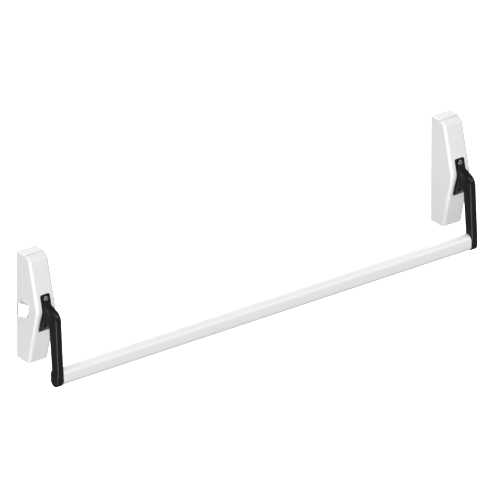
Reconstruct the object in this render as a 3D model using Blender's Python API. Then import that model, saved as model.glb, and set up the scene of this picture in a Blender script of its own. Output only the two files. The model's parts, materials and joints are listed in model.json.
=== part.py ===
"""Panic exit bar: an oval push bar on two hinged arms, one at each end of a door leaf.

X runs along the bar, Y towards the door and Z up. The origin is on the door's face, at the
middle of the left housing. Pushing the bar swings both arms about one line through the two
pivot pins. On the left that turns a bell crank, which draws the latch bolt into the housing.

All sizes are millimetres. A place in a housing is (x, depth, z): x from the housing's middle,
depth from the door towards the user, so that Y is minus the depth, and z from mid-height.
"""

import math

import bmesh
import bpy
from mathutils import Matrix, Vector

MM = 0.001

# Driving dimensions
HOUSING_PITCH = 1032.0
COVER_HALF_HEIGHT = 118.0
COVER_HALF_WIDTH = 24.0
COVER_WALL = 2.0
COVER_RIM = 0.5
RIDGE = (71.2, 7.0)
TOP_CHAMFER = ((44.6, 110.5), (31.0, COVER_HALF_HEIGHT))
BOTTOM_CORNER = (41.5, -COVER_HALF_HEIGHT)
# Fillets towards the sides, for the bottom, the lower and upper front, the crown, the top and the rim
COVER_FILLETS = (3.0, 7.0, 7.0, 5.0, 1.5, 0.0)

PIVOT_DEPTH, PIVOT_Z = 30.0, 45.0
PIN_RADIUS = 4.0
BORE_CLEARANCE = 0.1
GAP = 0.3

PLATE = 3.0
CHEEK_INSIDE, CHEEK_OUTSIDE = 16.5, 18.5

ARM_HALF_WIDTH = 7.35
TUBE_CENTRE = (103.7, -129.0)
TUBE_HALF_DEPTH, TUBE_HALF_HEIGHT, TUBE_WALL = 12.5, 17.5, 1.8
FOOT_HALF_DEPTH, FOOT_HALF_HEIGHT, FOOT_HALF_WIDTH = 12.6, 19.0, 7.8
SPIGOT_LENGTH = 30.0
TAB_TOP, TAB_BOTTOM = 40.0, -39.6
TAB_HALF_WIDTH, SKIRT_HALF_WIDTH = 11.6, 13.6
TAB_SCREW_Z = 32.0
SLOT_MARGIN, SLOT_FOOT_ROOM = 0.4, 2.0

BOLT_TRAVEL = 11.7
HEAD_LOW, HEAD_HIGH = -14.0, 12.7
HEAD_BACK, HEAD_NOSE, HEAD_FRONT = 18.2, 21.4, 39.2
WINDOW_MARGIN = 0.5
TAIL_LOW, TAIL_HIGH = -20.0, 5.0
BOLT_TAIL_BACK, BOLT_TAIL_FRONT, BOLT_TAIL_END = 12.0, 30.0, 7.5
BOLT_SHOULDER, BOLT_TAIL_START, SPRING_SEAT = -20.5, -21.6, -19.6

CRANK_X, CRANK_DEPTH = -2.0, 12.0
CRANK_LOW, CRANK_HIGH = 9.0, 12.6
CRANK_HALF_SWING = 21.5
INPUT_ARM, OUTPUT_ARM = 15.5, 16.0

SPRING_Z = -38.0
REST_STOP_Z = 59.0
TAIL_DEPTH, TAIL_END_Z = 52.3, -44.0
HEEL_DEPTH = 20.3
COVER_SCREW_DEPTH = 9.0
GRUB_SCREW_X = 23.0
DOOR_HOLE_X, DOOR_HOLE_Z, DOOR_HOLE_RADIUS = 10.0, 90.0, 3.0
GUIDE_SCREWS = {"lower": (-11.0, -15.0), "upper": (11.0, 1.0)}

COLOURS = {  # base colour, roughness, metallic
    "white_coat": ((0.86, 0.86, 0.86), 0.38, 0.0),
    "black_coat": ((0.022, 0.022, 0.024), 0.45, 0.0),
    "zinc_steel": ((0.62, 0.64, 0.66), 0.35, 1.0),
    "bright_nickel": ((0.88, 0.87, 0.84), 0.15, 1.0),
    "spring_steel": ((0.36, 0.37, 0.39), 0.3, 1.0),
    "silver_screw": ((0.7, 0.7, 0.7), 0.25, 1.0),
    "rubber": ((0.03, 0.03, 0.03), 0.8, 0.0),
    "nylon": ((0.8, 0.78, 0.7), 0.5, 0.0),
}


# Outlines

def signed_area(points):
    return sum(a[0] * b[1] - b[0] * a[1] for a, b in zip(points, points[1:] + points[:1])) / 2


def inset_corners(corners, insets):
    """A closed outline's corners after each edge moves inwards. Edge i starts at corner i."""
    side = math.copysign(1, signed_area(corners))
    lines = []
    for i, start in enumerate(corners):
        along = (Vector(corners[(i + 1) % len(corners)]) - Vector(start)).normalized()
        inward = Vector((-along.y, along.x)) * side
        lines.append((Vector(start) + inward * insets[i], along))
    moved = []
    for (p, u), (q, v) in zip(lines[-1:] + lines[:-1], lines):
        reach = ((q - p).x * v.y - (q - p).y * v.x) / (u.x * v.y - u.y * v.x)
        moved.append(p + u * reach)
    return moved


def rounded(corners, radii, steps):
    """A closed outline with an arc at each corner that has a radius."""
    points = []
    for i, corner in enumerate(corners):
        if not radii[i]:
            points.append(Vector(corner))
            continue
        corner = Vector(corner)
        to_last = (Vector(corners[i - 1]) - corner).normalized()
        to_next = (Vector(corners[(i + 1) % len(corners)]) - corner).normalized()
        half = to_last.angle(to_next) / 2
        centre = corner + (to_last + to_next).normalized() * radii[i] / math.sin(half)
        first = corner + to_last * radii[i] / math.tan(half) - centre
        last = corner + to_next * radii[i] / math.tan(half) - centre
        sweep = first.angle_signed(last)
        for k in range(steps + 1):
            turn = -sweep * k / steps
            points.append(centre + Matrix.Rotation(turn, 2) @ first)
    return points


def inset_outline(corners, radii, steps, insets):
    """A rounded outline moved inwards: outer corners tighten and inner corners open."""
    side = math.copysign(1, signed_area(corners))
    changed = []
    for i, radius in enumerate(radii):
        before = Vector(corners[i]) - Vector(corners[i - 1])
        after = Vector(corners[(i + 1) % len(corners)]) - Vector(corners[i])
        convex = (before.x * after.y - before.y * after.x) * side > 0
        inset = max(insets[i - 1], insets[i])
        new_radius = radius - inset if convex else radius + inset
        changed.append(max(new_radius, 0.3) if radius else 0)
    return rounded(inset_corners(corners, insets), changed, steps)


def stadium(centre, half_depth, half_height, steps):
    """An upright oval with straight sides, as (depth, z) points."""
    straight = half_height - half_depth
    points = []
    for end in (1, -1):
        for k in range(steps + 1):
            angle = math.pi * k / steps + (0 if end > 0 else math.pi)
            points.append(Vector((centre[0] + half_depth * math.cos(angle),
                                  centre[1] + half_depth * math.sin(angle) + straight * end)))
    return points


def tapered_link(start, start_radius, end, end_radius, steps):
    """The outline round two circles of different sizes."""
    start, end = Vector(start), Vector(end)
    heading = math.atan2(*(end - start).yx)
    tilt = math.acos((start_radius - end_radius) / (end - start).length)
    points = []
    for centre, radius, first, last in (
        (start, start_radius, heading + tilt, heading + 2 * math.pi - tilt),
        (end, end_radius, heading - tilt, heading + tilt),
    ):
        for k in range(steps + 1):
            angle = first + (last - first) * k / steps
            points.append(centre + Vector((math.cos(angle), math.sin(angle))) * radius)
    return points


# Solids

def solid(name, rings, tube=False):
    """Skins rings of (x, depth, z) points. The end rings get caps, or a tube joins its ends."""
    mesh = bmesh.new()
    loops = [[mesh.verts.new((x * MM, -depth * MM, z * MM)) for x, depth, z in ring] for ring in rings]
    pairs = list(zip(loops, loops[1:]))
    if tube:
        pairs.append((loops[-1], loops[0]))
    else:
        mesh.faces.new(loops[0])
        mesh.faces.new(loops[-1])
    for a, b in pairs:
        for i in range(len(a)):
            j = (i + 1) % len(a)
            mesh.faces.new((a[i], a[j], b[j], b[i]))
    bmesh.ops.recalc_face_normals(mesh, faces=mesh.faces)
    data = bpy.data.meshes.new(name)
    mesh.to_mesh(data)
    mesh.free()
    obj = bpy.data.objects.new(name, data)
    bpy.context.scene.collection.objects.link(obj)
    return obj


def side_prism(name, outline, x_low, x_high):
    """A (depth, z) outline extruded along X."""
    return solid(name, [[(x, depth, z) for depth, z in outline] for x in (x_low, x_high)])


def front_prism(name, outline, depth_low, depth_high):
    """An (x, z) outline extruded away from the door."""
    return solid(name, [[(x, depth, z) for x, z in outline] for depth in (depth_low, depth_high)])


def plan_prism(name, outline, z_low, z_high):
    """An (x, depth) outline extruded upwards."""
    return solid(name, [[(x, depth, z) for x, depth in outline] for z in (z_low, z_high)])


def box(name, x, depth, z):
    return side_prism(name, [(depth[0], z[0]), (depth[1], z[0]), (depth[1], z[1]), (depth[0], z[1])], *x)


def turned(name, profile, start, direction, segments=24, tube=False):
    """Rings of (radius, distance along direction) about a line from start."""
    axis = Vector(direction).normalized()
    side = axis.orthogonal().normalized()
    up = axis.cross(side)
    rings = []
    for radius, along in profile:
        ring = []
        for k in range(segments):
            angle = 2 * math.pi * k / segments
            ring.append(Vector(start) + axis * along
                        + (side * math.cos(angle) + up * math.sin(angle)) * radius)
        rings.append(ring)
    return solid(name, rings, tube)


def rod(name, radius, start, direction, length, segments=24):
    return turned(name, [(radius, 0), (radius, length)], start, direction, segments)


def drawn_in(beyond, fillet):
    """How far a rounded edge has drawn in, at a distance beyond the end of its flat."""
    return fillet - math.sqrt(max(fillet ** 2 - beyond ** 2, 0)) if beyond > 0 else 0


def filleted(name, corners, radii, half_width, fillets, arc_steps, fillet_steps):
    """A side outline extruded along X. Each edge has its own fillet where it meets the sides."""
    stations = []
    for k in range(fillet_steps + 1):
        x = half_width - max(fillets) * (1 - math.cos(math.pi / 2 * k / fillet_steps))
        stations.append((x, [drawn_in(x - half_width + fillet, fillet) for fillet in fillets]))
    stations += [(-x, insets) for x, insets in reversed(stations)]
    rings = []
    for x, insets in stations:
        rings.append([(x, depth, z) for depth, z in inset_outline(corners, radii, arc_steps, insets)])
    return solid(name, rings)


def coil(name, start, direction, length, mean_radius, wire_radius, turns):
    """A round-wire compression spring whose ends lie at start and at length along direction."""
    steps_per_turn, wire_sides = 12, 5
    axis = Vector(direction).normalized()
    side = axis.orthogonal().normalized()
    up = axis.cross(side)
    pitch = (length - 2 * wire_radius) / turns
    rings = []
    for k in range(turns * steps_per_turn + 1):
        angle = 2 * math.pi * k / steps_per_turn
        out = side * math.cos(angle) + up * math.sin(angle)
        along = up * math.cos(angle) - side * math.sin(angle)
        heading = (along * mean_radius + axis * pitch / (2 * math.pi)).normalized()
        middle = Vector(start) + axis * (wire_radius + pitch * k / steps_per_turn) + out * mean_radius
        across = heading.cross(out)
        rings.append([middle + (out * math.cos(w) + across * math.sin(w)) * wire_radius
                      for w in (2 * math.pi * i / wire_sides for i in range(wire_sides))])
    return solid(name, rings)


def combine(target, tools, operation):
    """Applies a Boolean of each tool to the target, and removes the tools."""
    for tool in tools:
        modifier = target.modifiers.new(operation.lower(), "BOOLEAN")
        modifier.operation = operation
        modifier.solver = "EXACT"
        modifier.object = tool
        evaluated = target.evaluated_get(bpy.context.evaluated_depsgraph_get())
        data = bpy.data.meshes.new_from_object(evaluated)
        target.modifiers.clear()
        target.data = data
        bpy.data.objects.remove(tool)
    return target


def cut(target, *tools):
    return combine(target, tools, "DIFFERENCE")


def join(target, *tools):
    return combine(target, tools, "UNION")


# Pieces of one housing

def cover(name, has_latch):
    """A shell open at the door, with a slot for the arm and, on the latch side, a bolt window."""
    corners = [(COVER_RIM, -COVER_HALF_HEIGHT), BOTTOM_CORNER, RIDGE, *TOP_CHAMFER,
               (COVER_RIM, COVER_HALF_HEIGHT)]
    shell = filleted(name, corners, [0, 9, 30, 5, 1, 1], COVER_HALF_WIDTH, COVER_FILLETS, 4, 4)
    inside = inset_corners(corners, [COVER_WALL] * 5 + [0])
    inside[0].x = inside[-1].x = -COVER_WALL
    inside_fillets = [max(fillet - COVER_WALL, 0.5) for fillet in COVER_FILLETS[:5]] + [0]
    hollow = filleted("hollow", inside, [0, 7, 28, 4, 0.5, 0.5], COVER_HALF_WIDTH - COVER_WALL,
                      inside_fillets, 4, 3)
    slot = front_prism("slot", tab_outline(SLOT_MARGIN, SLOT_FOOT_ROOM), 45, 85)
    screw_start = (0, COVER_SCREW_DEPTH, -COVER_HALF_HEIGHT - 1)
    screw_hole = turned("screw_hole", [(5.4, 0), (4.3, 1.1), (2.4, 3), (2.4, 6)], screw_start, (0, 0, 1))
    cut(shell, hollow, slot, screw_hole)
    if has_latch:
        cut(shell, box("window", (-30, -15), (HEAD_BACK - WINDOW_MARGIN, HEAD_FRONT + WINDOW_MARGIN),
                       (HEAD_LOW - WINDOW_MARGIN, HEAD_HIGH + WINDOW_MARGIN)))
    return shell


def chassis(name, has_latch):
    """A bent steel channel: a back plate against the door, low flanges and two pivot ears."""
    length = 112.0
    tab_depth, tab_half_width, tab_outer, tab_inner = 15.0, 9.0, 115.6, 113.2
    frame = box(name, (-CHEEK_OUTSIDE, CHEEK_OUTSIDE), (0, PLATE), (-length, length))
    ear = rounded([(2, 16), (22, 26), (42, 34), (42, 56), (22, 70), (2, 76)], [0, 6, 8, 8, 6, 0], 4)
    for side in (-1, 1):
        x = sorted((CHEEK_INSIDE * side, CHEEK_OUTSIDE * side))
        join(frame, box("flange", x, (PLATE - 1, 12), (-100, 72)), side_prism("ear", ear, *x))
        z_range = sorted((tab_outer * side, (length - 1) * side))
        lip_range = sorted((tab_outer * side, tab_inner * side))
        join(frame,
             box("tongue", (-tab_half_width, tab_half_width), (0, PLATE), z_range),
             box("lip", (-tab_half_width, tab_half_width), (PLATE - 1, tab_depth), lip_range))
    cut(frame, rod("pivot_hole", 6.1, (-25, PIVOT_DEPTH, PIVOT_Z), (1, 0, 0), 50))
    cut(frame, rod("tab_hole", 2.15, (0, COVER_SCREW_DEPTH, -120), (0, 0, 1), 10, 16))
    for x in (-DOOR_HOLE_X, DOOR_HOLE_X):
        for z in (-DOOR_HOLE_Z, DOOR_HOLE_Z):
            cut(frame, rod("door_hole", DOOR_HOLE_RADIUS, (x, -1, z), (0, 1, 0), 6, 16))
    if has_latch:
        cut(frame, box("bolt_notch", (-20, -15), (5.5, 14), (TAIL_LOW - 2, TAIL_HIGH + 2)))
        for x, z in GUIDE_SCREWS.values():
            cut(frame, rod("guide_hole", 1.7, (x, -1, z), (0, 1, 0), 6, 16))
    return frame


def screw_axis():
    """Where the tab screw meets the tab's face, and the direction out of that face."""
    face = tab_face_depth(TAB_SCREW_Z)
    slope = (tab_face_depth(TAB_SCREW_Z) - tab_face_depth(TAB_SCREW_Z + 1))
    return Vector((0, face, TAB_SCREW_Z)), Vector((0, 1, slope)).normalized()


def rocker(name, has_latch):
    """The lever on the pivot pin. The arm bolts to its front, and its tail bears on the spring."""
    body = side_prism(name, [
        (HEEL_DEPTH, 65), (29, 65), (40, 49), (53.8, 40.5), (56.0, TAIL_END_Z), (TAIL_DEPTH, TAIL_END_Z),
        (TAIL_DEPTH, -22), (45, 6), (36, 37), (24, 38), (HEEL_DEPTH, 52)], -8, 8)
    hub_end = 13.8
    join(body, rod("hub", 9, (-hub_end, PIVOT_DEPTH, PIVOT_Z), (1, 0, 0), 2 * hub_end))
    if has_latch:
        join(body, side_prism("nose", [(21, 6), (26.5, 6), (38, 41), (34, 50), (24, 50), (21, 42)],
                              11.4, hub_end - GAP))
    face, out = screw_axis()
    cut(body,
        rod("bore", PIN_RADIUS + BORE_CLEARANCE, (-20, PIVOT_DEPTH, PIVOT_Z), (1, 0, 0), 40),
        rod("thread", 2.7, face - out * 20.5, out, 26, 16))
    return body


def pivot_pin(name):
    end, groove_in, groove_out, groove_radius = 20.0, 18.75, 19.55, 3.1
    profile = [(PIN_RADIUS - 0.5, -end), (PIN_RADIUS, -end + 0.4), (PIN_RADIUS, -groove_out),
               (groove_radius, -groove_out), (groove_radius, -groove_in), (PIN_RADIUS, -groove_in),
               (PIN_RADIUS, groove_in), (groove_radius, groove_in), (groove_radius, groove_out),
               (PIN_RADIUS, groove_out), (PIN_RADIUS, end - 0.4), (PIN_RADIUS - 0.5, end)]
    return turned(name, profile, (0, PIVOT_DEPTH, PIVOT_Z), (1, 0, 0))


def clip_outline(inner, outer, opening):
    """An open ring, as points round the origin. The opening is an angle in degrees."""
    steps = 14
    angles = [math.radians(opening / 2 + (360 - opening) * k / steps) for k in range(steps + 1)]
    points = [Vector((math.cos(a), math.sin(a))) * outer for a in angles]
    return points + [Vector((math.cos(a), math.sin(a))) * inner for a in reversed(angles)]


def pivot_clip(name, side):
    outline = [(PIVOT_DEPTH + x, PIVOT_Z + z) for x, z in clip_outline(3.3, 6.4, 70)]
    return side_prism(name, outline, *sorted((18.85 * side, 19.45 * side)))


def pivot_bush(name, side):
    """A flanged bush in a pivot ear. Its flange keeps the rocker off the steel."""
    bore, sleeve, flange = PIN_RADIUS + BORE_CLEARANCE, 5.8, 9.0
    inner_end, shoulder, outer_end = 14.1, CHEEK_INSIDE - GAP, CHEEK_OUTSIDE + 0.1
    profile = [(bore, inner_end), (flange, inner_end), (flange, shoulder), (sleeve, shoulder),
               (sleeve, outer_end), (bore, outer_end)]
    return turned(name, profile, (0, PIVOT_DEPTH, PIVOT_Z), (side, 0, 0), tube=True)


def return_spring(name):
    return coil(name, (0, PLATE + GAP, SPRING_Z), (0, 1, 0), TAIL_DEPTH - PLATE - 2 * GAP, 6.5, 0.9, 8)


def buffer(name, radius, z, reach):
    """A rubber stop that stands on the back plate."""
    length = reach - PLATE - GAP
    profile = [(radius, 0), (radius, length - 1.5), (radius - 1, length)]
    return turned(name, profile, (0, PLATE + GAP, z), (0, 1, 0), 16)


def cover_screw(name):
    profile = [(3.9, 0), (2.0, 1.9), (2.0, 11), (1.2, 12)]
    return turned(name, profile, (0, COVER_SCREW_DEPTH, 0.2 - COVER_HALF_HEIGHT), (0, 0, 1), 16)


# The push bar and its arms

TAB_FACE = [(63.9, TAB_TOP), (72.0, RIDGE[1]), (65.5, TAB_BOTTOM + 2.6), (62.5, TAB_BOTTOM)]


def tab_face_depth(z):
    """The depth of the tab's front face above the ridge."""
    (top_depth, top_z), (ridge_depth, ridge_z) = TAB_FACE[:2]
    return ridge_depth + (top_depth - ridge_depth) * (z - ridge_z) / (top_z - ridge_z)


def tab_outline(margin=0.0, foot_room=0.0):
    """The tab's (x, z) outline from the front, or a slot that clears it by a margin all round."""
    top, skirt = TAB_HALF_WIDTH + margin, SKIRT_HALF_WIDTH + margin
    half = [(top, TAB_TOP + margin), (top, 6), (skirt, -20), (skirt, TAB_BOTTOM - margin - foot_room)]
    radii = [4, 12, 12, 3.5]
    return rounded(half + [(-x, z) for x, z in reversed(half)], radii + radii[::-1], 4)


def arm(name, inward):
    """A tab in the cover's slot, a cranked shaft, a foot, and a spigot towards the other arm."""
    overcut = 0.01
    tab = side_prism(name, [(54.1, TAB_TOP + overcut), (TAB_FACE[0][0], TAB_TOP + overcut), *TAB_FACE[1:],
                            (56.3, TAB_BOTTOM)], -15, 15)
    combine(tab, [front_prism("tab_outline", tab_outline(), 40, 90)], "INTERSECT")
    shaft_corners = [(60, 27), (109.6, 10), (117.6, -117), (116, -134.5), (95, -134.5), (93.4, -105),
                     (85, -18.5), (60, -38.5)]
    shaft_radii = [0.5, 20, 20, 6, 6, 20, 3, 0.5]
    shaft = filleted("shaft", shaft_corners, shaft_radii, ARM_HALF_WIDTH, [2.5] * 8, 4, 3)
    foot = side_prism("foot", stadium(TUBE_CENTRE, FOOT_HALF_DEPTH, FOOT_HALF_HEIGHT, 10),
                      -FOOT_HALF_WIDTH, FOOT_HALF_WIDTH)
    plug = stadium(TUBE_CENTRE, TUBE_HALF_DEPTH - TUBE_WALL - 2 * GAP,
                   TUBE_HALF_HEIGHT - TUBE_WALL - 2 * GAP, 10)
    spigot_x = sorted((inward * (FOOT_HALF_WIDTH - 1), inward * (FOOT_HALF_WIDTH + SPIGOT_LENGTH)))
    join(tab, shaft, foot, side_prism("spigot", plug, *spigot_x))
    face, out = screw_axis()
    cut(tab,
        rod("tab_hole", 2.9, face - out * 15, out, 25, 16),
        rod("dimple", 2.4, (inward * GRUB_SCREW_X, 88, TUBE_CENTRE[1]), (0, 1, 0), 8.5, 12))
    return tab


def arm_screw(name):
    """A socket-head screw that clamps the arm's tab to the rocker."""
    face, out = screw_axis()
    profile = [(1.6, -19.5), (2.4, -18.5), (2.4, 0.2), (5.0, 0.2), (5.0, 1.8), (4.2, 2.6)]
    screw = turned(name, profile, face, out)
    return cut(screw, rod("socket", 2.2, face + out * 1.0, out, 3, 6))


def grub_screw(name, inward):
    start = (inward * GRUB_SCREW_X, 91.6, TUBE_CENTRE[1])
    screw = turned(name, [(2.0, 0), (2.0, 3.6), (1.0, 4.4)], start, (0, 1, 0), 12)
    return cut(screw, rod("socket", 1.1, (start[0], 90, start[2]), (0, 1, 0), 3.2, 6))


def push_tube(name):
    ends = (FOOT_HALF_WIDTH + GAP, HOUSING_PITCH - FOOT_HALF_WIDTH - GAP)
    outer = stadium(TUBE_CENTRE, TUBE_HALF_DEPTH, TUBE_HALF_HEIGHT, 12)
    inner = stadium(TUBE_CENTRE, TUBE_HALF_DEPTH - TUBE_WALL, TUBE_HALF_HEIGHT - TUBE_WALL, 12)
    sections = [(outer, ends[0]), (outer, ends[1]), (inner, ends[1]), (inner, ends[0])]
    tube = solid(name, [[(x, depth, z) for depth, z in section] for section, x in sections], tube=True)
    for x in (GRUB_SCREW_X, HOUSING_PITCH - GRUB_SCREW_X):
        cut(tube, rod("grub_hole", 2.4, (x, 88, TUBE_CENTRE[1]), (0, 1, 0), 7, 12))
    return tube


# The latch

def crank_tip(length, angle):
    """The far end of a crank arm, at an angle in degrees from +X towards the user."""
    turn = math.radians(angle)
    return CRANK_X + length * math.cos(turn), CRANK_DEPTH + length * math.sin(turn)


def latch_bolt(name):
    """A bevelled head that fills the window, and a tail with a spring channel and a finger notch.

    The head's lower front corner is cut back where the pressed arm's tab comes close to it.
    """
    reach = -COVER_HALF_WIDTH - BOLT_TRAVEL + GAP
    bolt = plan_prism(name, [
        (reach, HEAD_BACK), (reach, HEAD_NOSE), (-COVER_HALF_WIDTH, HEAD_FRONT),
        (BOLT_SHOULDER, HEAD_FRONT), (BOLT_SHOULDER, HEAD_BACK)], HEAD_LOW, HEAD_HIGH)
    join(bolt, box("tail", (BOLT_TAIL_START, BOLT_TAIL_END), (BOLT_TAIL_BACK, BOLT_TAIL_FRONT),
                   (TAIL_LOW, TAIL_HIGH)))
    finger_x, _ = crank_tip(OUTPUT_ARM, 90 + CRANK_HALF_SWING)
    return cut(bolt,
               side_prism("arm_relief", [(36, HEAD_LOW - 1), (40, HEAD_LOW - 1), (40, -2.5)],
                          -COVER_HALF_WIDTH - 1.8, BOLT_SHOULDER + 1),
               box("spring_channel", (SPRING_SEAT, 9), (13, 21), (TAIL_LOW - 1, -11.5)),
               box("finger_notch", (finger_x - 2.4, finger_x + 2.4), (24.3, 31), (-3, TAIL_HIGH + 1)))


def latch_spring(name):
    start = SPRING_SEAT + GAP
    return coil(name, (start, 17, -15.8), (1, 0, 0), 16.0 - start, 3.0, 0.5, 8)


def latch_guide(name):
    """A block on the back plate that carries the bolt, the crank's pin and the spring's post."""
    shelf_z, ledge_z = (-24, TAIL_LOW - 0.6), (TAIL_HIGH + 0.6, 8.6)
    guide = box(name, (-14, 15.3), (PLATE + GAP, 6.9), (shelf_z[0], ledge_z[1]))
    join(guide,
         box("shelf", (-14, 15.3), (6, 30), shelf_z),
         box("spring_foot", (14, 19), (13.7, 20.3), shelf_z),
         box("spring_post", (16.4, 19), (13.7, 20.3), (shelf_z[0], -12)),
         box("ledge", (-9, 5), (6, 17.5), ledge_z))
    cut(guide, rod("pin_hole", 2.1, (CRANK_X, CRANK_DEPTH, 0), (0, 0, 1), 10, 16))
    for x, z in GUIDE_SCREWS.values():
        cut(guide, turned("screw_hole", [(1.7, 2), (1.7, 5.2), (3.3, 6.8), (3.3, 8)],
                          (x, 0, z), (0, 1, 0), 16))
    return guide


def guide_screw(name, x, z):
    return turned(name, [(1.4, 0.6), (1.4, 5.3), (2.8, 6.7)], (x, 0, z), (0, 1, 0), 16)


def bell_crank(name):
    """Turns the rocker's push towards the door into the bolt's pull along the bar."""
    hub = (CRANK_X, CRANK_DEPTH)
    input_tip = crank_tip(INPUT_ARM, CRANK_HALF_SWING)
    output_tip = crank_tip(OUTPUT_ARM, 90 + CRANK_HALF_SWING)
    crank = plan_prism(name, tapered_link(hub, 2.5, input_tip, 2.2, 8), CRANK_LOW, CRANK_HIGH)
    finger_start = (output_tip[0], output_tip[1], -2)
    join(crank,
         plan_prism("output", tapered_link(hub, 4.9, output_tip, 3.0, 8), CRANK_LOW, CRANK_HIGH),
         rod("finger", 2.0, finger_start, (0, 0, 1), CRANK_LOW + 3, 16))
    return cut(crank, rod("bore", 2.1, (CRANK_X, CRANK_DEPTH, 5), (0, 0, 1), 10, 16))


def crank_pin(name):
    profile = [(2.0, 5.8), (2.0, 12.95), (1.5, 12.95), (1.5, 13.65), (2.0, 13.65), (2.0, 14.4), (1.6, 14.8)]
    return turned(name, profile, (CRANK_X, CRANK_DEPTH, 0), (0, 0, 1), 16)


def crank_clip(name):
    outline = [(CRANK_X + x, CRANK_DEPTH + y) for x, y in clip_outline(1.7, 4.0, 70)]
    return plan_prism(name, outline, 13.05, 13.55)


# Assembly

def material(kind):
    colour, roughness, metallic = COLOURS[kind]
    made = bpy.data.materials.new(kind)
    made.use_nodes = True
    made.diffuse_color = (*colour, 1)
    shader = made.node_tree.nodes["Principled BSDF"]
    shader.inputs["Base Color"].default_value = (*colour, 1)
    shader.inputs["Roughness"].default_value = roughness
    shader.inputs["Metallic"].default_value = metallic
    return made


def joint_empty(name, x, depth, z):
    empty = bpy.data.objects.new(name, None)
    empty.empty_display_size = 0.02
    empty.location = (x * MM, -depth * MM, z * MM)
    bpy.context.scene.collection.objects.link(empty)
    return empty


def place(obj, kind, housing_x=0.0, joint=None):
    """Moves a piece to its housing, gives it a material and, if it moves, hangs it on its joint."""
    obj.data.materials.clear()
    obj.data.materials.append(material(kind))
    obj.data.shade_smooth()
    obj.data.set_sharp_from_angle(angle=math.radians(35))
    origin = Vector((housing_x * MM, 0, 0))
    if joint:
        pivot = Vector((0, joint.location.y, joint.location.z))
        if joint.name != "push_bar_pivot":
            pivot.x = joint.location.x
        obj.data.transform(Matrix.Translation(-pivot))
        obj.parent = joint
        obj.location = origin + pivot - joint.location
    else:
        obj.location = origin


def build_housing(prefix, housing_x, inward, has_latch, push):
    """Everything at one end of the bar. Inward is +1 or -1, towards the other housing."""
    fixed = (
        (cover(f"{prefix}_cover", has_latch), "white_coat"),
        (chassis(f"{prefix}_chassis", has_latch), "zinc_steel"),
        (pivot_pin(f"{prefix}_pivot_pin"), "spring_steel"),
        (return_spring(f"{prefix}_return_spring"), "spring_steel"),
        (buffer(f"{prefix}_rest_stop", 5.0, REST_STOP_Z, HEEL_DEPTH - GAP), "rubber"),
        (buffer(f"{prefix}_travel_stop", 4.2, SPRING_Z, 24.0), "rubber"),
        (cover_screw(f"{prefix}_cover_screw"), "zinc_steel"),
        (pivot_clip(f"{prefix}_pivot_clip_a", -1), "spring_steel"),
        (pivot_clip(f"{prefix}_pivot_clip_b", 1), "spring_steel"),
        (pivot_bush(f"{prefix}_pivot_bush_a", -1), "nylon"),
        (pivot_bush(f"{prefix}_pivot_bush_b", 1), "nylon"),
    )
    moving = (
        (rocker(f"{prefix}_rocker", has_latch), "zinc_steel"),
        (arm(f"{prefix}_arm", inward), "black_coat"),
        (arm_screw(f"{prefix}_arm_screw"), "silver_screw"),
        (grub_screw(f"{prefix}_grub_screw", inward), "spring_steel"),
    )
    for obj, kind in fixed:
        place(obj, kind, housing_x)
    for obj, kind in moving:
        place(obj, kind, housing_x, push)


def build_latch():
    crank_joint = joint_empty("crank_axis", CRANK_X, CRANK_DEPTH, CRANK_LOW)
    bolt_joint = joint_empty("latch_line", 0, BOLT_TAIL_BACK, TAIL_LOW)
    place(latch_guide("latch_guide"), "nylon")
    place(latch_spring("latch_spring"), "spring_steel")
    place(crank_pin("crank_pin"), "spring_steel")
    place(crank_clip("crank_clip"), "spring_steel")
    for which, (x, z) in GUIDE_SCREWS.items():
        place(guide_screw(f"guide_screw_{which}", x, z), "zinc_steel")
    place(bell_crank("bell_crank"), "zinc_steel", 0, crank_joint)
    place(latch_bolt("latch_bolt"), "bright_nickel", 0, bolt_joint)


def main():
    for obj in list(bpy.data.objects):
        bpy.data.objects.remove(obj)
    push = joint_empty("push_bar_pivot", 0, PIVOT_DEPTH, PIVOT_Z)
    build_housing("left", 0.0, 1, True, push)
    build_housing("right", HOUSING_PITCH, -1, False, push)
    build_latch()
    place(push_tube("push_tube"), "white_coat", 0, push)


main()
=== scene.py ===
"""The looks of the panic exit bar: fine meshes for what shows, finishes for every piece, and a studio.

Places in a housing are (x, depth, z) in millimetres: x from the housing's middle, depth from the
door towards the user (so Y is minus the depth) and z from mid-height, as the CAD frame has them.
"""

import json
import math

import bmesh
import bpy
from mathutils import Matrix, Vector


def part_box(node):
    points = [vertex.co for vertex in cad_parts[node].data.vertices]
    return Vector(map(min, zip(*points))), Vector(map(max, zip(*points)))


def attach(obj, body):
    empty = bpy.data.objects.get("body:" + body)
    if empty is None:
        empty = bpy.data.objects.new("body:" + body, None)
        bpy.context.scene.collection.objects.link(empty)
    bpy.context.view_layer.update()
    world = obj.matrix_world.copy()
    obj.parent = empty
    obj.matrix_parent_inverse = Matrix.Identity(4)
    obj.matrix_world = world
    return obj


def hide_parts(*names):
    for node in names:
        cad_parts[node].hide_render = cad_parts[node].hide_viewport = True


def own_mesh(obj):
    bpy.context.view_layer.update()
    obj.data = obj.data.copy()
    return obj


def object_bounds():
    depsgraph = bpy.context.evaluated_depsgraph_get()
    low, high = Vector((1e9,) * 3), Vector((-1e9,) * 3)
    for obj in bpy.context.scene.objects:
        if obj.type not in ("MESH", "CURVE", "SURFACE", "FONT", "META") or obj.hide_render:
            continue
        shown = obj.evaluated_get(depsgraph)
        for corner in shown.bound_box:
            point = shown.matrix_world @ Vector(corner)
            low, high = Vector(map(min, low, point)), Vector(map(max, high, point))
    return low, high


MM = 0.001

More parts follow.
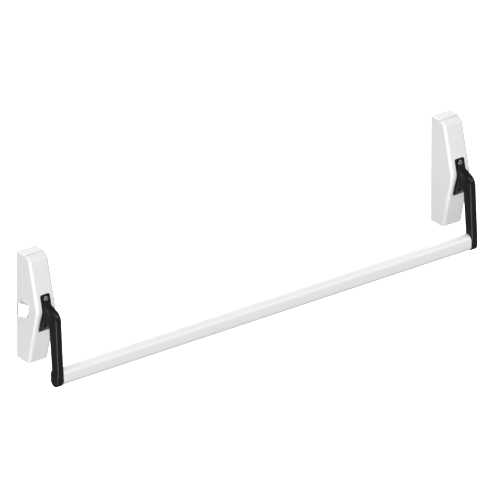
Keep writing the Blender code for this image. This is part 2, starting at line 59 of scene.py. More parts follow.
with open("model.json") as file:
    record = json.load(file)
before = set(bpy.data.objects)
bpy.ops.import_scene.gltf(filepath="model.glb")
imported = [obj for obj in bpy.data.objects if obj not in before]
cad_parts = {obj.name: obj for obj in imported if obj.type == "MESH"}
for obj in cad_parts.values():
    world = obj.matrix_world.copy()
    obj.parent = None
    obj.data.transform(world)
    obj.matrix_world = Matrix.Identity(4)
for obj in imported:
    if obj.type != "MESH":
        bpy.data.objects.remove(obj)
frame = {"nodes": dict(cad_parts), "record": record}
cad_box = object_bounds()


# Places and sizes, read from the frame where it has them

def mount_x(name):
    mount = next(m for m in frame["record"]["mounts"] if m["name"] == name)
    return mount["pos_m"][0] / MM


# Each housing's middle, and the way along X from it to the bar
HOUSINGS = {"left": (mount_x("latch_side_back"), 1), "right": (mount_x("idle_side_back"), -1)}


def node_range(node, axis):
    """A node's lowest and highest place along an axis, in millimetres. Depth is minus Y."""
    low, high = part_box(node)
    if axis == "depth":
        return -high.y / MM, -low.y / MM
    i = "xyz".index(axis)
    return low[i] / MM, high[i] / MM


COVER_RIM = node_range("right_cover", "depth")[0]
COVER_HALF_HEIGHT = node_range("right_cover", "z")[1]
COVER_HALF_WIDTH = node_range("right_cover", "x")[1] - HOUSINGS["right"][0]
COVER_WALL = 2.0
RIDGE = (71.2, 7.0)
TOP_CHAMFER = ((44.6, 110.5), (31.0, COVER_HALF_HEIGHT))
BOTTOM_CORNER = (41.5, -COVER_HALF_HEIGHT)
# Radii of the side outline's corners, from the lower back one round by the ridge, outside and inside
COVER_RADII = [0, 9, 30, 5, 1, 1]
HOLLOW_RADII = [0, 7, 28, 4, 0.5, 0.5]
# Fillets towards the sides, for the bottom, the lower and upper front, the crown, the top and the rim
COVER_FILLETS = (3.0, 7.0, 7.0, 5.0, 1.5, 0.0)
SEAM_DEPTH, SEAM_SIZE = 29.2, 1.6
SLOT_MARGIN, SLOT_FOOT_ROOM = 0.4, 2.0
# The section of the bolt's head, and the window's margin round it
HEAD_LOW, HEAD_HIGH = -14.0, 12.7
HEAD_BACK, HEAD_FRONT = 18.2, 39.2
WINDOW_MARGIN = 0.5
COVER_SCREW_DEPTH = 9.0

TUBE_X = node_range("push_tube", "x")
TUBE_DEPTH = node_range("push_tube", "depth")
TUBE_Z = node_range("push_tube", "z")
TUBE_CENTRE = (sum(TUBE_DEPTH) / 2, sum(TUBE_Z) / 2)
TUBE_HALF_DEPTH = (TUBE_DEPTH[1] - TUBE_DEPTH[0]) / 2
TUBE_HALF_HEIGHT = (TUBE_Z[1] - TUBE_Z[0]) / 2
TUBE_WALL = 1.8
GRUB_SCREW_X = 23.0

ARM_HALF_WIDTH = 7.35
FOOT_HALF_DEPTH, FOOT_HALF_HEIGHT, FOOT_HALF_WIDTH = 12.6, 19.0, 7.8
SPIGOT_LENGTH = 30.0
TAB_TOP, TAB_BOTTOM = 40.0, -39.6
TAB_HALF_WIDTH, SKIRT_HALF_WIDTH = 11.6, 13.6
TAB_FACE = ((63.9, TAB_TOP), (72.0, RIDGE[1]), (65.5, TAB_BOTTOM + 2.6), (62.5, TAB_BOTTOM))
TAB_BACK_TOP, TAB_BACK_BOTTOM = 54.1, 56.3
TAB_SCREW_Z = 32.0
ARMPIT = (85, -18.5)

# How wide an edge is broken on the larger pieces that keep their CAD shape
BROKEN_EDGES = {"latch_bolt": 0.5, "left_chassis": 0.25, "right_chassis": 0.25, "latch_guide": 0.25,
                "bell_crank": 0.25, "left_rocker": 0.4, "right_rocker": 0.4}


# Outlines

def signed_area(points):
    return sum(a[0] * b[1] - b[0] * a[1] for a, b in zip(points, points[1:] + points[:1])) / 2


def inset_corners(corners, insets):
    """A closed outline's corners after each edge moves inwards. Edge i starts at corner i."""
    side = math.copysign(1, signed_area(corners))
    lines = []
    for i, start in enumerate(corners):
        along = (Vector(corners[(i + 1) % len(corners)]) - Vector(start)).normalized()
        inward = Vector((-along.y, along.x)) * side
        lines.append((Vector(start) + inward * insets[i], along))
    moved = []
    for (p, u), (q, v) in zip(lines[-1:] + lines[:-1], lines):
        reach = ((q - p).x * v.y - (q - p).y * v.x) / (u.x * v.y - u.y * v.x)
        moved.append(p + u * reach)
    return moved


def rounded(corners, radii, steps):
    """A closed outline with an arc at each corner that has a radius."""
    points = []
    for i, corner in enumerate(corners):
        if not radii[i]:
            points.append(Vector(corner))
            continue
        corner = Vector(corner)
        to_last = (Vector(corners[i - 1]) - corner).normalized()
        to_next = (Vector(corners[(i + 1) % len(corners)]) - corner).normalized()
        half = to_last.angle(to_next) / 2
        centre = corner + (to_last + to_next).normalized() * radii[i] / math.sin(half)
        first = corner + to_last * radii[i] / math.tan(half) - centre
        last = corner + to_next * radii[i] / math.tan(half) - centre
        sweep = first.angle_signed(last)
        for k in range(steps + 1):
            points.append(centre + Matrix.Rotation(-sweep * k / steps, 2) @ first)
    return points


def inset_outline(corners, radii, steps, insets):
    """A rounded outline moved inwards: outer corners tighten and inner corners open."""
    side = math.copysign(1, signed_area(corners))
    changed = []
    for i, radius in enumerate(radii):
        before = Vector(corners[i]) - Vector(corners[i - 1])
        after = Vector(corners[(i + 1) % len(corners)]) - Vector(corners[i])
        convex = (before.x * after.y - before.y * after.x) * side > 0
        inset = max(insets[i - 1], insets[i])
        changed.append(max(radius - inset if convex else radius + inset, 0.3) if radius else 0)
    return rounded(inset_corners(corners, insets), changed, steps)


def tab_outline(margin=0.0, foot_room=0.0):
    """The tab's (x, z) outline from the front, or a slot that clears it by a margin all round."""
    top, skirt = TAB_HALF_WIDTH + margin, SKIRT_HALF_WIDTH + margin
    flare_start, flare_end = 6, -20
    half = [(top, TAB_TOP + margin), (top, flare_start), (skirt, flare_end),
            (skirt, TAB_BOTTOM - margin - foot_room)]
    radii = [4, 12, 12, 3.5]
    return rounded(half + [(-x, z) for x, z in reversed(half)], radii + radii[::-1], 10)


def stadium(half_depth, half_height, steps):
    """An upright oval with straight sides round the tube's centre line, as (depth, z) points."""
    points = []
    for end in (1, -1):
        for k in range(steps + 1):
            angle = math.pi * k / steps + (0 if end > 0 else math.pi)
            points.append(Vector((TUBE_CENTRE[0] + half_depth * math.cos(angle),
                                  TUBE_CENTRE[1] + half_depth * math.sin(angle)
                                  + (half_height - half_depth) * end)))
    return points


# Meshes

def solid(name, rings, tube=False):
    """Skins rings of (x, depth, z) points. The end rings get caps, or a tube joins its ends."""
    mesh = bmesh.new()
    loops = [[mesh.verts.new((x * MM, -depth * MM, z * MM)) for x, depth, z in ring] for ring in rings]
    pairs = list(zip(loops, loops[1:]))
    if tube:
        pairs.append((loops[-1], loops[0]))
    else:
        mesh.faces.new(loops[0])
        mesh.faces.new(loops[-1])
    for a, b in pairs:
        for i in range(len(a)):
            j = (i + 1) % len(a)
            mesh.faces.new((a[i], a[j], b[j], b[i]))
    bmesh.ops.recalc_face_normals(mesh, faces=mesh.faces)
    data = bpy.data.meshes.new(name)
    mesh.to_mesh(data)
    mesh.free()
    obj = bpy.data.objects.new(name, data)
    bpy.context.scene.collection.objects.link(obj)
    return obj


def side_prism(name, outline, x_low, x_high):
    """A (depth, z) outline extruded along X."""
    return solid(name, [[(x, depth, z) for depth, z in outline] for x in (x_low, x_high)])


def front_prism(name, outline, depth_low, depth_high):
    """An (x, z) outline extruded away from the door."""
    return solid(name, [[(x, depth, z) for x, z in outline] for depth in (depth_low, depth_high)])


def box(name, x, depth, z):
    return side_prism(name, [(depth[0], z[0]), (depth[1], z[0]), (depth[1], z[1]), (depth[0], z[1])], *x)


def turned(name, profile, start, direction, segments=48):
    """Rings of (radius, distance along direction) about a line from start."""
    axis = Vector(direction).normalized()
    side = axis.orthogonal().normalized()
    up = axis.cross(side)
    rings = []
    for radius, along in profile:
        rings.append([Vector(start) + axis * along
                      + (side * math.cos(a) + up * math.sin(a)) * radius
                      for a in (2 * math.pi * k / segments for k in range(segments))])
    return solid(name, rings)


def rod(name, radius, start, direction, length, segments):
    return turned(name, [(radius, 0), (radius, length)], start, direction, segments)


def drawn_in(beyond, fillet):
    """How far a rounded edge has drawn in, at a distance beyond the end of its flat."""
    return fillet - math.sqrt(max(fillet ** 2 - beyond ** 2, 0)) if beyond > 0 else 0


def filleted(name, corners, radii, half_width, fillets, arc_steps, fillet_steps):
    """A side outline extruded along X. Each edge has its own fillet where it meets the sides."""
    stations = []
    for k in range(fillet_steps + 1):
        x = half_width - max(fillets) * (1 - math.cos(math.pi / 2 * k / fillet_steps))
        stations.append((x, [drawn_in(x - half_width + fillet, fillet) for fillet in fillets]))
    stations += [(-x, insets) for x, insets in reversed(stations)]
    rings = []
    for x, insets in stations:
        rings.append([(x, depth, z) for depth, z in inset_outline(corners, radii, arc_steps, insets)])
    return solid(name, rings)


def coil(name, start, direction, length, mean_radius, wire_radius, turns):
    """A compression spring with a closed, flattened turn at each end."""
    steps_per_turn, wire_sides, end_turns = 40, 12, 1.0
    axis = Vector(direction).normalized()
    side = axis.orthogonal().normalized()
    up = axis.cross(side)
    all_turns = turns + 2 * end_turns
    end_rise = 2.2 * wire_radius
    free_rise = length - 2 * wire_radius - 2 * end_rise
    rings = []
    for k in range(round(all_turns * steps_per_turn) + 1):
        turn = k / steps_per_turn
        angle = 2 * math.pi * turn
        if turn < end_turns:
            rise = end_rise * turn / end_turns
        elif turn > all_turns - end_turns:
            rise = end_rise + free_rise + end_rise * (turn - all_turns + end_turns) / end_turns
        else:
            rise = end_rise + free_rise * (turn - end_turns) / turns
        out = side * math.cos(angle) + up * math.sin(angle)
        middle = Vector(start) + axis * (wire_radius + rise) + out * mean_radius
        rings.append([middle + (out * math.cos(w) + axis * math.sin(w)) * wire_radius
                      for w in (2 * math.pi * i / wire_sides for i in range(wire_sides))])
    return solid(name, rings)


def apply_modifiers(obj):
    """Replaces an object's mesh by what its modifiers make of it."""
    evaluated = obj.evaluated_get(bpy.context.evaluated_depsgraph_get())
    data = bpy.data.meshes.new_from_object(evaluated)
    obj.modifiers.clear()
    obj.data = data


def combine(target, tools, operation):
    """Cuts, joins or trims the target by each tool in turn, and removes the tools."""
    for tool in tools:
        modifier = target.modifiers.new(operation.lower(), "BOOLEAN")
        modifier.operation = operation
        modifier.solver = "EXACT"
        modifier.object = tool
        apply_modifiers(target)
        bpy.data.objects.remove(tool)


def cut(target, *tools):
    combine(target, tools, "DIFFERENCE")


def join(target, *tools):
    combine(target, tools, "UNION")


def break_edges(obj, width, angle, harden=False):
    """Adds a small bevel along every edge that turns by more than the angle."""
    bevel = obj.modifiers.new("broken_edges", "BEVEL")
    bevel.width = width * MM
    bevel.segments = 2
    bevel.limit_method = "ANGLE"
    bevel.angle_limit = math.radians(angle)
    bevel.harden_normals = harden


def smooth_shading(obj, angle=35):
    obj.data.shade_smooth()
    obj.data.set_sharp_from_angle(angle=math.radians(angle))


def weighted_normals(obj):
    modifier = obj.modifiers.new("weighted_normals", "WEIGHTED_NORMAL")
    modifier.keep_sharp = True


# Finishes

class Nodes:
    """A short way to add and join shader nodes."""

    def __init__(self, tree):
        self.tree = tree

    def add(self, kind, **settings):
        node = self.tree.nodes.new(kind)
        for key, value in settings.items():
            if key in node.inputs:
                node.inputs[key].default_value = value
            else:
                setattr(node, key, value)
        return node

    def join(self, output, target):
        self.tree.links.new(output, target)


def new_finish(name):
    material = bpy.data.materials.new(name)
    material.use_nodes = True
    nodes = Nodes(material.node_tree)
    return material, nodes, material.node_tree.nodes["Principled BSDF"]


def object_noise(nodes, scale, detail=3.0, stretch=(1, 1, 1)):
    """Noise in the object's own metres, stretched along an axis for a brushed look."""
    place = nodes.add("ShaderNodeTexCoord")
    mapping = nodes.add("ShaderNodeMapping")
    mapping.inputs["Scale"].default_value = stretch
    nodes.join(place.outputs["Object"], mapping.inputs["Vector"])
    noise = nodes.add("ShaderNodeTexNoise", Scale=scale, Detail=detail, Roughness=0.55)
    nodes.join(mapping.outputs["Vector"], noise.inputs["Vector"])
    return noise.outputs["Fac"]


def remapped(nodes, value, low, high, from_low=0.3, from_high=0.7):
    ramp = nodes.add("ShaderNodeMapRange")
    ramp.inputs["From Min"].default_value = from_low
    ramp.inputs["From Max"].default_value = from_high
    ramp.inputs["To Min"].default_value = low
    ramp.inputs["To Max"].default_value = high
    nodes.join(value, ramp.inputs["Value"])
    return ramp.outputs["Result"]


def blended(nodes, factor, first, second):
    mix = nodes.add("ShaderNodeMix", data_type="RGBA")
    mix.inputs["A"].default_value = (*first, 1)
    mix.inputs["B"].default_value = (*second, 1)
    nodes.join(factor, mix.inputs["Factor"])
    return mix.outputs["Result"]


def bump(nodes, height, strength, distance, shader, under=None):
    made = nodes.add("ShaderNodeBump", Strength=strength, Distance=distance * MM)
    nodes.join(height, made.inputs["Height"])
    if under is not None:
        nodes.join(under, made.inputs["Normal"])
    nodes.join(made.outputs["Normal"], shader.inputs["Normal"])
    return made.outputs["Normal"]


def powder_coat(name, colour, roughness, peel_strength):
    """Baked powder paint: a faint orange peel over finer grain, an uneven sheen, and painted shade that
    darkens its creases and grooves.
    """
    material, nodes, shader = new_finish(name)
    shade = [c * 0.965 for c in colour]
    cloud = object_noise(nodes, 14.0, 4.0)
    # Painted shade: ambient occlusion darkens the paint's colour in creases and grooves such as the seam,
    # towards a fifth of its tone
    crevice_occlusion = nodes.add("ShaderNodeAmbientOcclusion", samples=8, Distance=2.5 * MM)
    painted_crevice_shade = nodes.add("ShaderNodeMix", data_type="RGBA")
    painted_crevice_shade.inputs["A"].default_value = (*[c * 0.2 for c in colour], 1)
    nodes.join(blended(nodes, cloud, colour, shade), painted_crevice_shade.inputs["B"])
    nodes.join(remapped(nodes, crevice_occlusion.outputs["AO"], 0.0, 1.0, 0.3, 0.8), painted_crevice_shade.inputs["Factor"])
    nodes.join(painted_crevice_shade.outputs["Result"], shader.inputs["Base Color"])
    sheen = object_noise(nodes, 420.0)
    nodes.join(remapped(nodes, sheen, roughness - 0.04, roughness + 0.05), shader.inputs["Roughness"])
    shader.inputs["Coat Weight"].default_value = 0.8
    shader.inputs["Coat Roughness"].default_value = 0.12
    peel = bump(nodes, object_noise(nodes, 650.0, 1.5), peel_strength, 0.25, shader)
    bump(nodes, object_noise(nodes, 2600.0, 2.0), peel_strength * 0.7, 0.1, shader, peel)
    return material


def black_coat(name):
    """Fine-textured black paint on a casting, rubbed thinner and shinier along its edges."""
    material, nodes, shader = new_finish(name)
    worn = nodes.add("ShaderNodeNewGeometry").outputs["Pointiness"]
    patchy = object_noise(nodes, 160.0, 5.0)
    product = nodes.add("ShaderNodeMath", operation="MULTIPLY")
    nodes.join(remapped(nodes, worn, 0.0, 1.0, 0.53, 0.62), product.inputs[0])
    nodes.join(remapped(nodes, patchy, 0.55, 1.0), product.inputs[1])
    nodes.join(blended(nodes, product.outputs["Value"], (0.0055, 0.0055, 0.0058), (0.04, 0.04, 0.041)),
               shader.inputs["Base Color"])
    nodes.join(remapped(nodes, product.outputs["Value"], 0.32, 0.26, 0, 1), shader.inputs["Roughness"])
    shader.inputs["Specular IOR Level"].default_value = 0.3
    grain = bump(nodes, object_noise(nodes, 1500.0, 3.0), 0.28, 0.12, shader)
    bump(nodes, object_noise(nodes, 260.0, 2.0), 0.06, 0.5, shader, grain)
    return material


def plated_metal(name, colour, roughness, stretch=(1, 1, 1), scale=700.0, strength=0.12):
    """Plated or drawn metal with fine lines along one axis and a cloudy sheen."""
    material, nodes, shader = new_finish(name)
    shader.inputs["Metallic"].default_value = 1.0
    cloud = object_noise(nodes, 60.0, 5.0)
    nodes.join(blended(nodes, cloud, colour, [c * 0.86 for c in colour]), shader.inputs["Base Color"])
    lines = object_noise(nodes, scale, 3.0, stretch)
    nodes.join(remapped(nodes, lines, roughness * 0.8, roughness * 1.25), shader.inputs["Roughness"])
    bump(nodes, lines, strength, 0.05, shader)
    return material


def moulded(name, colour, roughness, grain):
    """Moulded rubber or nylon with a fine matt grain."""
    material, nodes, shader = new_finish(name)
    cloud = object_noise(nodes, 90.0, 3.0)
    nodes.join(blended(nodes, cloud, colour, [c * 0.88 for c in colour]), shader.inputs["Base Color"])
    nodes.join(remapped(nodes, object_noise(nodes, 500.0), roughness - 0.06, roughness + 0.06),
               shader.inputs["Roughness"])
    bump(nodes, object_noise(nodes, 1800.0, 2.0), grain, 0.08, shader)
    return material


FINISHES = {
    "white_coat": powder_coat("white_powder_coat", (0.86, 0.86, 0.86), 0.3, 0.03),
    "black_coat": black_coat("black_textured_coat"),
    "zinc_steel": plated_metal("zinc_plated_steel", (0.66, 0.68, 0.7), 0.34, stretch=(1, 1, 0.05)),
    "bright_nickel": plated_metal("bright_nickel_plate", (0.96, 0.96, 0.95), 0.3, stretch=(0.06, 1, 1),
                                  scale=900.0, strength=0.03),
    "spring_steel": plated_metal("oiled_spring_steel", (0.4, 0.41, 0.43), 0.27, scale=900.0,
                                 strength=0.08),
    "silver_screw": plated_metal("bright_screw_plate", (0.42, 0.42, 0.42), 0.3, scale=800.0,
                                 strength=0.08),
    "rubber": moulded("moulded_rubber", (0.028, 0.028, 0.028), 0.72, 0.3),
    "nylon": moulded("natural_nylon", (0.78, 0.76, 0.68), 0.48, 0.15),
}


def finish_piece(obj, slot, body, *nodes):
    """Gives a new piece its finish and its body, and lets it stand for CAD nodes."""
    obj.data.materials.clear()
    obj.data.materials.append(FINISHES[slot])
    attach(obj, body)
    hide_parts(*nodes)


def at_housing(obj, housing_x):
    obj.data.transform(Matrix.Translation((housing_x * MM, 0, 0)))


# Pieces

def cover(side):
    """A shell with a soft ridge, a seam behind its crown, a slot for the arm and rounded side edges."""
    housing_x, _ = HOUSINGS[side]
    corners = [(COVER_RIM, -COVER_HALF_HEIGHT), BOTTOM_CORNER, RIDGE, *TOP_CHAMFER,
               (COVER_RIM, COVER_HALF_HEIGHT)]
    shell = filleted(f"{side}_cover_shell", corners, COVER_RADII, COVER_HALF_WIDTH, COVER_FILLETS,
                     arc_steps=14, fillet_steps=14)
    cut(shell, cover_hollow(corners), cover_slot(), cover_screw_hole(), cover_seam())
    if side == "left":
        cut(shell, bolt_window())
    at_housing(shell, housing_x)
    break_edges(shell, 0.35, 38)
    smooth_shading(shell)
    weighted_normals(shell)
    finish_piece(shell, "white_coat", "frame", f"{side}_cover")


def cover_hollow(corners):
    """The room inside the shell, open at the rim."""
    inside = inset_corners(corners, [COVER_WALL] * 5 + [0])
    inside[0].x = inside[-1].x = -COVER_WALL
    fillets = [max(fillet - COVER_WALL, 0.5) for fillet in COVER_FILLETS[:5]] + [0]
    return filleted("hollow", inside, HOLLOW_RADII, COVER_HALF_WIDTH - COVER_WALL, fillets,
                    arc_steps=10, fillet_steps=8)


def cover_slot():
    """The opening in the shell's front, a margin larger than the arm's tab."""
    return front_prism("slot", tab_outline(SLOT_MARGIN, SLOT_FOOT_ROOM), 45, 85)


def cover_screw_hole():
    """A stepped recess in the shell's lower end, for the screw that holds it on the chassis."""
    start = (0, COVER_SCREW_DEPTH, -COVER_HALF_HEIGHT - 1)
    return turned("screw_hole", [(5.4, 0), (4.3, 1.1), (2.4, 3), (2.4, 6)], start, (0, 0, 1))


def cover_seam():
    """A groove across the shell's upper end."""
    return box("seam", (-40, 40), (SEAM_DEPTH, SEAM_DEPTH + SEAM_SIZE),
               (COVER_HALF_HEIGHT - SEAM_SIZE, COVER_HALF_HEIGHT + 1))


def bolt_window():
    """The opening in the latch side's outer wall, a margin larger than the bolt's head."""
    return box("window", (-30, -15), (HEAD_BACK - WINDOW_MARGIN, HEAD_FRONT + WINDOW_MARGIN),
               (HEAD_LOW - WINDOW_MARGIN, HEAD_HIGH + WINDOW_MARGIN))


def push_tube():
    """The extruded oval tube, with a small break on its end edges."""
    edge = 0.4
    sections = [
        (TUBE_X[0] + edge, 0.0), (TUBE_X[1] - edge, 0.0), (TUBE_X[1], edge),
        (TUBE_X[1], TUBE_WALL), (TUBE_X[0], TUBE_WALL), (TUBE_X[0], edge),
    ]
    loops = [[(x, depth, z) for depth, z in stadium(TUBE_HALF_DEPTH - inset, TUBE_HALF_HEIGHT - inset, 40)]
             for x, inset in sections]
    tube = solid("push_tube_oval", loops, tube=True)
    hole_radius, hole_start, hole_length = 2.4, 88, 7
    for housing_x, inward in HOUSINGS.values():
        start = (housing_x + inward * GRUB_SCREW_X, hole_start, TUBE_CENTRE[1])
        cut(tube, rod("grub_hole", hole_radius, start, (0, 1, 0), hole_length, 32))
    smooth_shading(tube, 30)
    finish_piece(tube, "white_coat", "push_bar", "push_tube")


def gusset_flare():
    """The web that spreads from the shaft to the full width of the tab's skirt."""
    start = (62.0, TAB_BOTTOM + 0.6)
    height_at_tab, height_at_armpit = 30.0, 8.0
    setback, taper = 0.3, 0.8
    steps = 14
    rings = []
    for k in range(steps + 1):
        share = k / steps
        depth = start[0] + (ARMPIT[0] - start[0]) * share
        half = ARM_HALF_WIDTH - setback + (SKIRT_HALF_WIDTH - ARM_HALF_WIDTH) * (1 - share) ** 3
        low = start[1] + (ARMPIT[1] - start[1]) * share
        high = low + height_at_tab - (height_at_tab - height_at_armpit) * share
        rings.append([(half, depth, low), (half * taper, depth, high), (-half * taper, depth, high),
                      (-half, depth, low)])
    return solid("flare", rings)


def arm_tab(name):
    """The flat upper end in the cover's slot. Its side profile is trimmed by its front outline."""
    # The profile starts a hair above the outline, so that the two top faces don't coincide
    overcut = 0.01
    profile = [(TAB_BACK_TOP, TAB_TOP + overcut), (TAB_FACE[0][0], TAB_TOP + overcut), *TAB_FACE[1:],
               (TAB_BACK_BOTTOM, TAB_BOTTOM)]
    tab = side_prism(name, profile, -15, 15)
    combine(tab, [front_prism("tab_outline", tab_outline(), 40, 90)], "INTERSECT")
    return tab


def arm_shaft():
    """The cranked shaft, drawn from inside the tab down its front to the foot and back to the armpit."""
    corners = [(60, 27), (109.6, 10), (117.6, -117), (116, -134.5), (95, -134.5), (93.4, -105), ARMPIT,
               (60, -38.5)]
    radii = [0.5, 20, 20, 6, 6, 20, 3, 0.5]
    fillet = 3.0
    return filleted("shaft", corners, radii, ARM_HALF_WIDTH, [fillet] * len(corners),
                    arc_steps=12, fillet_steps=8)


def arm_foot():
    """The upright oval foot, with its edges drawn in on both sides."""
    edge, step = 1.6, 0.5
    one_side = [(FOOT_HALF_WIDTH - edge, 0), (FOOT_HALF_WIDTH - step, step), (FOOT_HALF_WIDTH, edge)]
    rings = []
    for x, inset in [(-x, inset) for x, inset in reversed(one_side)] + one_side:
        outline = stadium(FOOT_HALF_DEPTH - inset, FOOT_HALF_HEIGHT - inset, 24)
        rings.append([(x, depth, z) for depth, z in outline])
    return solid("foot", rings)


def arm_spigot(inward):
    """The plug that runs from the foot into the tube's end."""
    gap, overlap = 0.6, 1
    outline = stadium(TUBE_HALF_DEPTH - TUBE_WALL - gap, TUBE_HALF_HEIGHT - TUBE_WALL - gap, 20)
    ends = sorted((inward * (FOOT_HALF_WIDTH - overlap), inward * (FOOT_HALF_WIDTH + SPIGOT_LENGTH)))
    return side_prism("spigot", outline, *ends)


def arm(side):
    """A cast arm: the tab, the cranked shaft, the skirt and the oval foot run into each other."""
    housing_x, inward = HOUSINGS[side]
    casting = arm_tab(f"{side}_arm_casting")
    join(casting, arm_shaft(), gusset_flare(), arm_foot(), arm_spigot(inward))
    voxel = casting.modifiers.new("voxels", "REMESH")
    voxel.mode = "VOXEL"
    voxel.voxel_size = 0.6 * MM
    soften = casting.modifiers.new("soften", "SMOOTH")
    soften.factor = 0.5
    soften.iterations = 6
    apply_modifiers(casting)
    at_housing(casting, housing_x)
    casting.data.shade_smooth()
    finish_piece(casting, "black_coat", "push_bar", f"{side}_arm")


def tab_screw_axis():
    """Where the tab screw meets the tab's face, and the direction out of that face."""
    (top_depth, top_z), (ridge_depth, ridge_z) = TAB_FACE[:2]
    lean = (ridge_depth - top_depth) / (top_z - ridge_z)
    face = ridge_depth - lean * (TAB_SCREW_Z - ridge_z)
    return Vector((0, face, TAB_SCREW_Z)), Vector((0, 1, lean)).normalized()


def arm_screw(side):
    """A round-headed socket screw on the tab's face."""
    housing_x, _ = HOUSINGS[side]
    face, out = tab_screw_axis()
    profile = [(1.6, -19.5), (2.4, -18.5), (2.4, 0.2), (4.7, 0.2), (5.0, 0.45), (5.0, 1.5), (4.85, 1.95),
               (4.5, 2.3), (4.0, 2.5), (3.2, 2.6)]
    screw = turned(f"{side}_arm_screw_head", profile, face, out)
    socket_radius, socket_floor, sides = 2.2, 1.0, 6
    cut(screw, rod("socket", socket_radius, face + out * socket_floor, out, 3, sides))
    at_housing(screw, housing_x)
    smooth_shading(screw)
    finish_piece(screw, "silver_screw", "push_bar", f"{side}_arm_screw")


def return_spring(side):
    """The spring behind the rocker. Pushing the bar squashes it towards the chassis."""
    housing_x, _ = HOUSINGS[side]
    node = f"{side}_return_spring"
    low, high = node_range(node, "depth")
    z = sum(node_range(node, "z")) / 2
    spring = coil(f"{side}_return_spring_coil", (0, low, z), (0, 1, 0), high - low,
                  mean_radius=6.5, wire_radius=0.9, turns=7)
    at_housing(spring, housing_x)
    finish_piece(spring, "spring_steel", "frame", node)
    smooth_shading(spring, 60)
    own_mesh(spring)


def latch_spring():
    """The spring behind the bolt. The bolt squashes it as it draws in."""
    node = "latch_spring"
    low, high = node_range(node, "x")
    depth, z = (sum(node_range(node, axis)) / 2 for axis in ("depth", "z"))
    spring = coil("latch_spring_coil", (low, depth, z), (1, 0, 0), high - low,
                  mean_radius=3.0, wire_radius=0.5, turns=10)
    finish_piece(spring, "spring_steel", "frame", node)
    smooth_shading(spring, 60)
    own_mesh(spring)


def refinish_cad_nodes():
    """The plain machined pieces keep their CAD shape and get a finish. The larger ones get broken edges."""
    slots = {s["node"]: s["material_slot"] for s in frame["record"]["subparts"]}
    for name, node in frame["nodes"].items():
        if node.hide_render:
            continue
        if name in BROKEN_EDGES:
            break_edges(node, BROKEN_EDGES[name], 40, harden=True)
        if not node.material_slots:
            node.data.materials.append(FINISHES[slots[name]])
        for material_slot in node.material_slots:
            material_slot.material = FINISHES[slots[name]]


# Studio

def add_camera():
    """A long lens from the front left and above, aimed so the whole bar crosses the picture."""
    azimuth, elevation = math.radians(-36.6), math.radians(26.3)
    lens, sensor, view_width = 1500.0, 36.0, 1.0
    # From the left housing's lower outer back corner to the picture's middle, in metres
    aim_right, aim_up = 0.4644, 0.2136
    back = Vector((math.sin(azimuth) * math.cos(elevation), -math.cos(azimuth) * math.cos(elevation),
                   math.sin(elevation)))
    right = Vector((math.cos(azimuth), math.sin(azimuth), 0))
    up = back.cross(right)
    corner = Vector((-COVER_HALF_WIDTH, 0, -COVER_HALF_HEIGHT)) * MM
    middle = corner + right * aim_right + up * aim_up
    low, high = (Vector(c) for c in cad_box)
    middle += back * ((low + high) / 2 - middle).dot(back)
    data = bpy.data.cameras.new("camera")
    data.type = "PERSP"
    data.lens = lens
    data.sensor_width = sensor
    distance = view_width * lens / sensor
    data.clip_end = distance * 3
    camera = bpy.data.objects.new("camera", data)
    bpy.context.scene.collection.objects.link(camera)
    camera.matrix_world = Matrix.Translation(middle + back * distance) @ Matrix(
        (right, up, back)).transposed().to_4x4()
    bpy.context.scene.camera = camera


def add_world():
    """White behind the object, and a low even light all round it."""
    world = bpy.data.worlds.new("studio")
    bpy.context.scene.world = world
    world.use_nodes = True
    world.node_tree.nodes.clear()
    nodes = Nodes(world.node_tree)
    even = nodes.add("ShaderNodeBackground", Strength=0.16)
    white = nodes.add("ShaderNodeBackground", Strength=1.0)
    for background in (even, white):
        background.inputs["Color"].default_value = (1, 1, 1, 1)
    mix = nodes.add("ShaderNodeMixShader")
    path = nodes.add("ShaderNodeLightPath")
    nodes.join(path.outputs["Is Camera Ray"], mix.inputs[0])
    nodes.join(even.outputs[0], mix.inputs[1])
    nodes.join(white.outputs[0], mix.inputs[2])
    output = nodes.add("ShaderNodeOutputWorld")
    nodes.join(mix.outputs[0], output.inputs["Surface"])


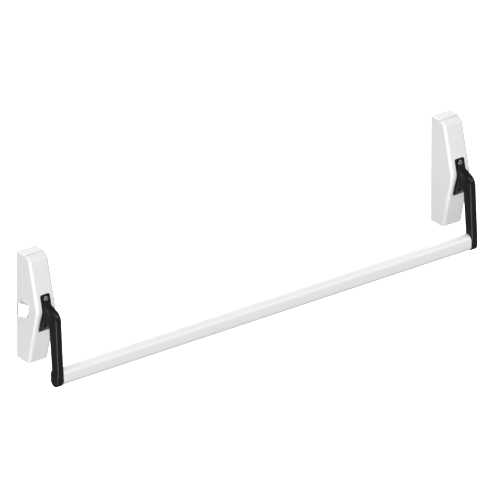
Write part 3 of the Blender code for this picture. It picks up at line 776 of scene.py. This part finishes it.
def add_light(name, azimuth, elevation, width, height, level, shadows=True):
    """A soft box facing the bar, so far off that both housings get the same light.

    The azimuth runs from the front towards the right. The width and height are in multiples of the
    distance, and the level is about the tone that the light gives a white face square to it.
    """
    distance = 40.0
    low, high = (Vector(c) for c in cad_box)
    azimuth, elevation = math.radians(azimuth), math.radians(elevation)
    away = Vector((math.sin(azimuth) * math.cos(elevation), -math.cos(azimuth) * math.cos(elevation),
                   math.sin(elevation)))
    data = bpy.data.lights.new(name, "AREA")
    data.shape = "RECTANGLE"
    data.size, data.size_y = width * distance, height * distance
    data.energy = level * (math.pi * distance) ** 2
    data.use_shadow = shadows
    light = bpy.data.objects.new(name, data)
    bpy.context.scene.collection.objects.link(light)
    light.location = (low + high) / 2 + away * distance
    light.rotation_euler = away.to_track_quat("Z", "Y").to_euler()
    light.visible_camera = False


def add_floor():
    """A pale floor well below the bar. It is lit evenly, so it meets the white background."""
    reach, top, thickness = 9000, -1300, 10
    floor = box("studio_floor", (-reach, reach), (-reach, reach), (top - thickness, top))
    material, _, shader = new_finish("pale_floor")
    shader.inputs["Base Color"].default_value = (0.9, 0.9, 0.9, 1)
    shader.inputs["Emission Color"].default_value = (1, 1, 1, 1)
    shader.inputs["Emission Strength"].default_value = 1.0
    floor.data.materials.append(material)
    for ray in ("diffuse", "glossy", "shadow", "transmission"):
        setattr(floor, f"visible_{ray}", False)


def build_pieces():
    for side in HOUSINGS:
        cover(side)
        arm(side)
        arm_screw(side)
        return_spring(side)
    push_tube()
    latch_spring()
    refinish_cad_nodes()


def build_studio():
    add_world()
    add_light("low_box", -45, -18, 1.1, 0.7, 0.70, shadows=False)
    add_light("left_box", -75, -24, 0.8, 0.5, 0.41, shadows=False)
    add_light("top_box", 0, 70, 0.8, 0.8, 0.68)
    add_light("back_box", 180, 40, 0.6, 0.6, 0.76)
    add_light("rear_box", 180, -5, 0.9, 0.9, 0.22)
    add_light("right_box", 40, 34.5, 0.4, 0.4, 0.16)
    add_light("front_box", 36, -26, 1.0, 0.8, 0.055, shadows=False)
    add_floor()
    add_camera()
    bpy.context.scene.view_settings.view_transform = "Standard"


build_pieces()
build_studio()
